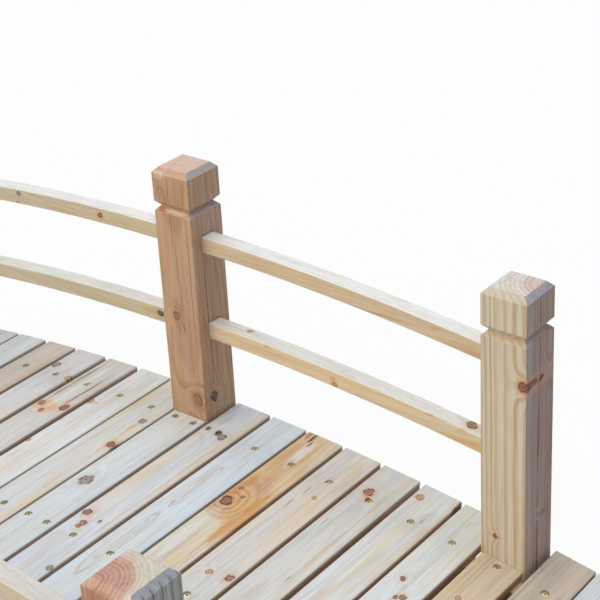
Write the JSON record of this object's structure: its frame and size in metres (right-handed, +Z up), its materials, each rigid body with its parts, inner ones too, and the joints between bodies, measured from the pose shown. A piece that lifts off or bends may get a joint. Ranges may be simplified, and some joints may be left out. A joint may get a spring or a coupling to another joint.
{
  "type": "garden bridge",
  "caption": "Small arched wooden garden bridge with a curved plank deck, square capped posts and curved double rails.",
  "frame": {"origin": "on the ground under the middle of the bridge", "axes": "+X along the walk, +Y across it towards the far railing, +Z up"},
  "size_m": [1.4814, 0.668, 0.4758],
  "materials": {
    "deck_wood": "bare sawn softwood, pale and lightly weathered",
    "beam_wood": "bare sawn softwood",
    "post_wood": "bare planed softwood with knots",
    "rail_wood": "bare planed softwood",
    "screw_brass": "yellow-passivated screws, visual model only",
    "bolt_zinc": "zinc-plated bolts, nuts and washers, visual model only"
  },
  "bodies": {
    "root": {"deck_plank_01": "deck_wood", "deck_plank_02": "deck_wood", "deck_plank_03": "deck_wood", "deck_plank_04": "deck_wood", "deck_plank_05": "deck_wood", "deck_plank_06": "deck_wood", "deck_plank_07": "deck_wood", "deck_plank_08": "deck_wood", "deck_plank_09": "deck_wood", "deck_plank_10": "deck_wood", "deck_plank_11": "deck_wood", "deck_plank_12": "deck_wood", "deck_plank_13": "deck_wood", "deck_plank_14": "deck_wood", "deck_plank_15": "deck_wood", "deck_plank_16": "deck_wood", "deck_plank_17": "deck_wood", "deck_plank_18": "deck_wood", "deck_plank_19": "deck_wood", "deck_plank_20": "deck_wood", "deck_plank_21": "deck_wood", "deck_plank_22": "deck_wood", "deck_plank_23": "deck_wood", "deck_plank_24": "deck_wood", "deck_plank_25": "deck_wood", "side_beam_near": "beam_wood", "centre_beam": "beam_wood", "side_beam_far": "beam_wood", "post_near_left": "post_wood", "post_near_mid": "post_wood", "post_near_right": "post_wood", "post_far_left": "post_wood", "post_far_mid": "post_wood", "post_far_right": "post_wood", "upper_rail_near_left": "rail_wood", "upper_rail_near_right": "rail_wood", "upper_rail_far_left": "rail_wood", "upper_rail_far_right": "rail_wood", "lower_rail_near_left": "rail_wood", "lower_rail_near_right": "rail_wood", "lower_rail_far_left": "rail_wood", "lower_rail_far_right": "rail_wood"}
  },
  "joints": []
}
